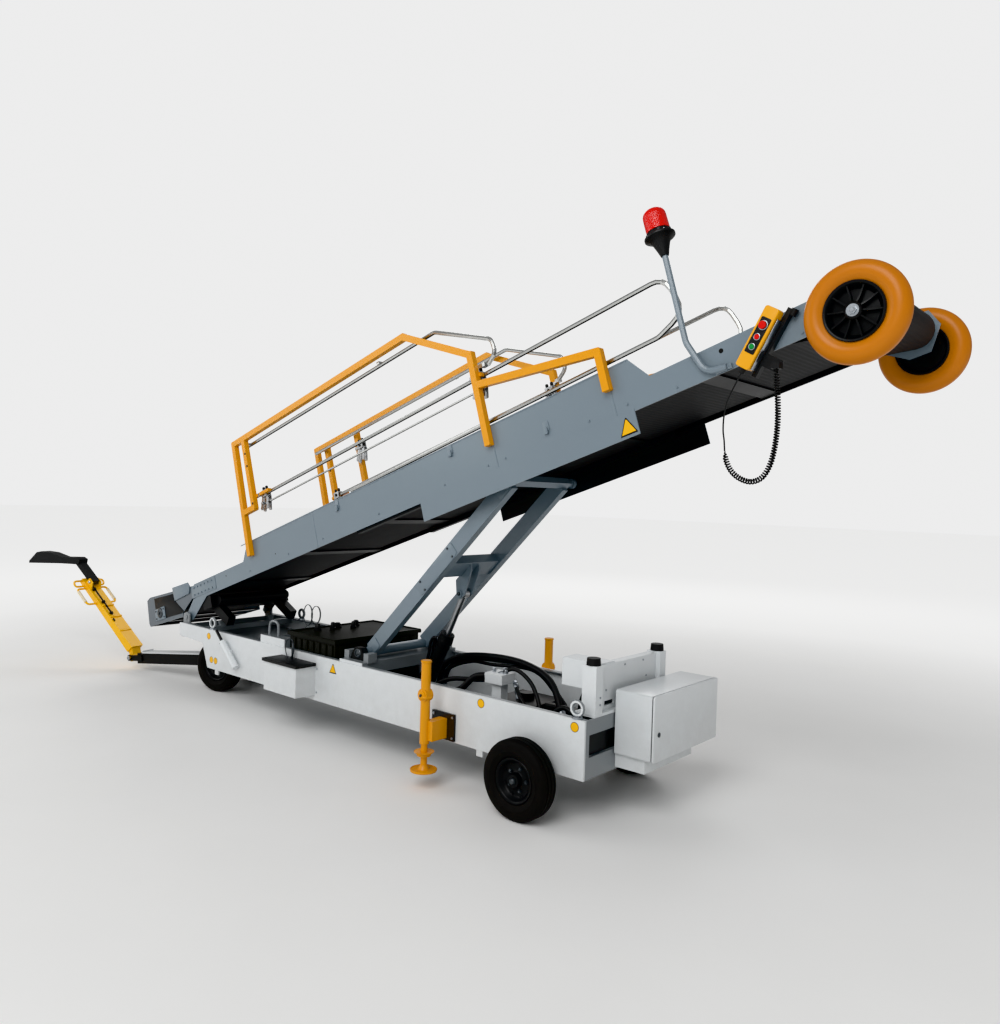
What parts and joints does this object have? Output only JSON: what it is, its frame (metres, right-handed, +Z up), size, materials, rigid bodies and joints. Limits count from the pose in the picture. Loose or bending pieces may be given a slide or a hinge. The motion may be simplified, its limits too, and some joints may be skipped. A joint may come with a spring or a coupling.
{
  "type": "towable baggage belt loader",
  "caption": "Towed belt loader for aircraft baggage: inclined conveyor boom with handrails on a low chassis, scissor-arm lift, folding drawbar and bumper wheels",
  "frame": {"origin": "centre of the footprint's box, on the ground that the wheels stand on", "axes": "+X from the tow bar towards the raised end, +Y to the machine's left, +Z up"},
  "size_m": [7.7465, 1.354, 2.9905],
  "materials": {
    "light_grey_paint": "satin paint",
    "grey_paint": "satin paint",
    "yellow_paint": "satin paint",
    "black_paint": "satin paint",
    "bright_steel": "brushed",
    "black_rubber": "matte",
    "belt_rubber": "ribbed",
    "black_plastic": "matte",
    "yellow_plastic": "smooth",
    "orange_polyurethane": "smooth",
    "rim_paint": "satin paint",
    "red_lens": "clear coloured"
  },
  "bodies": {
    "chassis": {"chassis_frame": "light_grey_paint", "arm_bearing_right": "light_grey_paint", "arm_bearing_left": "light_grey_paint", "fixed_axle": "black_paint", "jack_sleeve_right": "yellow_paint", "jack_sleeve_left": "yellow_paint", "buffer_beam": "light_grey_paint", "buffer_cap_right": "black_rubber", "buffer_cap_left": "black_rubber", "cabinet_body": "light_grey_paint", "battery_box": "black_plastic", "hydraulic_power_pack": "black_paint", "valve_block": "bright_steel", "side_box": "light_grey_paint", "hand_pump_lever": "light_grey_paint"},
    "fixed_wheel_right": {"fixed_wheel_right_tyre": "black_rubber", "fixed_wheel_right_rim": "rim_paint"},
    "steer_wheel_right": {"steer_wheel_right_tyre": "black_rubber", "steer_wheel_right_rim": "rim_paint"},
    "bumper_right": {"bumper_right_tyre": "orange_polyurethane", "bumper_right_rim": "rim_paint"},
    "jack_right": {"jack_leg_right": "yellow_paint"},
    "slide_rail_right": {"slide_rail_right": "bright_steel"},
    "fixed_wheel_left": {"fixed_wheel_left_tyre": "black_rubber", "fixed_wheel_left_rim": "rim_paint"},
    "steer_wheel_left": {"steer_wheel_left_tyre": "black_rubber", "steer_wheel_left_rim": "rim_paint"},
    "bumper_left": {"bumper_left_tyre": "orange_polyurethane", "bumper_left_rim": "rim_paint"},
    "jack_left": {"jack_leg_left": "yellow_paint"},
    "slide_rail_left": {"slide_rail_left": "bright_steel"},
    "steering": {"steer_axle": "black_paint"},
    "tow_link": {"drawbar_link": "black_paint", "drawbar_cover": "black_paint"},
    "drawbar": {"drawbar": "yellow_paint"},
    "tow_head": {"tow_head": "black_paint"},
    "cabinet_door": {"cabinet_door": "light_grey_paint"},
    "box_lid": {"side_box_lid": "black_plastic"},
    "lift_arms": {"lift_arms": "grey_paint"},
    "lift_cylinder": {"lift_cylinder": "black_paint"},
    "lift_rod": {"lift_rod": "bright_steel"},
    "boom": {"boom_side_right": "grey_paint", "boom_side_left": "grey_paint", "belt_bed": "black_paint", "belt": "belt_rubber", "tail_roller": "bright_steel", "head_roller": "bright_steel", "tail_guard": "grey_paint", "drive_housing": "black_paint", "handrail_right": "yellow_paint", "handrail_left": "yellow_paint", "inner_rail_right": "bright_steel", "inner_rail_left": "bright_steel", "beacon_pole": "grey_paint", "beacon_base": "black_plastic", "beacon_lens": "red_lens", "pendant_holder": "black_plastic", "pendant": "yellow_plastic", "pendant_cord_lead": "black_plastic", "pendant_cord_curly": "black_plastic"}
  },
  "joints": [
    {"name": "fixed_wheel_right_spin", "type": "hinge", "parent": "chassis", "child": "fixed_wheel_right", "pos_m": [2.1258, -0.472, 0.206], "axis": [0, 1, 0], "continuous": true},
    {"name": "fixed_wheel_left_spin", "type": "hinge", "parent": "chassis", "child": "fixed_wheel_left", "pos_m": [2.1258, 0.568, 0.206], "axis": [0, 1, 0], "continuous": true},
    {"name": "steering_swivel", "type": "hinge", "parent": "chassis", "child": "steering", "pos_m": [-1.3182, 0.048, 0], "axis": [0, 0, 1], "range_deg": [-60, 45]},
    {"name": "steer_wheel_right_spin", "type": "hinge", "parent": "steering", "child": "steer_wheel_right", "pos_m": [-1.26462, -0.15195, 0.206], "axis": [-0.2588, 0.9659, 0], "continuous": true},
    {"name": "steer_wheel_left_spin", "type": "hinge", "parent": "steering", "child": "steer_wheel_left", "pos_m": [-1.37178, 0.24795, 0.206], "axis": [-0.2588, 0.9659, 0], "continuous": true},
    {"name": "tow_link_hinge", "type": "hinge", "parent": "steering", "child": "tow_link", "pos_m": [-1.60798, -0.02965, 0.19], "axis": [-0.2588, 0.9659, 0], "range_deg": [-2, 8]},
    {"name": "drawbar_elbow", "type": "hinge", "parent": "tow_link", "child": "drawbar", "pos_m": [-2.48692, -0.26516, 0.10399], "axis": [-0.2588, 0.9659, 0], "range_deg": [-25, 40]},
    {"name": "tow_head_hinge", "type": "hinge", "parent": "drawbar", "child": "tow_head", "pos_m": [-3.02319, -0.40885, 0.73501], "axis": [-0.2588, 0.9659, 0], "range_deg": [0, 45]},
    {"name": "jack_right_slide", "type": "slide", "parent": "chassis", "child": "jack_right", "axis": [0, 0, -1], "range_m": [0, 0.09]},
    {"name": "jack_left_slide", "type": "slide", "parent": "chassis", "child": "jack_left", "axis": [0, 0, -1], "range_m": [0, 0.09]},
    {"name": "cabinet_door_hinge", "type": "hinge", "parent": "chassis", "child": "cabinet_door", "pos_m": [2.6788, 0.554, 0], "axis": [0, 0, 1], "range_deg": [0, 110]},
    {"name": "box_lid_hinge", "type": "hinge", "parent": "chassis", "child": "box_lid", "pos_m": [2.1258, -0.385, 0.498], "axis": [-1, 0, 0], "range_deg": [0, 90]},
    {"name": "boom_lift", "type": "hinge", "parent": "chassis", "child": "boom", "pos_m": [-1.4742, 0.048, 0.585], "axis": [0, -1, 0], "range_deg": [-14.6, 3.7]},
    {"name": "arms_lift", "type": "hinge", "parent": "chassis", "child": "lift_arms", "pos_m": [0.6458, 0.048, 0.605], "axis": [0, -1, 0], "range_deg": [-35.4, 9]},
    {"name": "cylinder_swing", "type": "hinge", "parent": "chassis", "child": "lift_cylinder", "pos_m": [0.8658, 0.048, 0.3], "axis": [0, -1, 0], "range_deg": [-29.3, 7.5]},
    {"name": "cylinder_stroke", "type": "slide", "parent": "lift_cylinder", "child": "lift_rod", "axis": [0.4425, 0, 0.8968], "range_m": [-0.214, 0.055]},
    {"name": "slide_rail_right_slide", "type": "slide", "parent": "boom", "child": "slide_rail_right", "axis": [0.9494, 0, 0.314], "range_m": [-1, 0]},
    {"name": "bumper_right_spin", "type": "hinge", "parent": "boom", "child": "bumper_right", "pos_m": [3.67409, -0.428, 2.36874], "axis": [0, 1, 0], "continuous": true},
    {"name": "slide_rail_left_slide", "type": "slide", "parent": "boom", "child": "slide_rail_left", "axis": [0.9494, 0, 0.314], "range_m": [-1, 0]},
    {"name": "bumper_left_spin", "type": "hinge", "parent": "boom", "child": "bumper_left", "pos_m": [3.67409, 0.524, 2.36874], "axis": [0, 1, 0], "continuous": true}
  ],
  "couplings": [
    {"joint": "arms_lift", "follows": "boom_lift", "ratio": 2.4145},
    {"joint": "cylinder_swing", "follows": "boom_lift", "ratio": 2},
    {"joint": "cylinder_stroke", "follows": "boom_lift", "m_per_rad": 0.835}
  ]
}
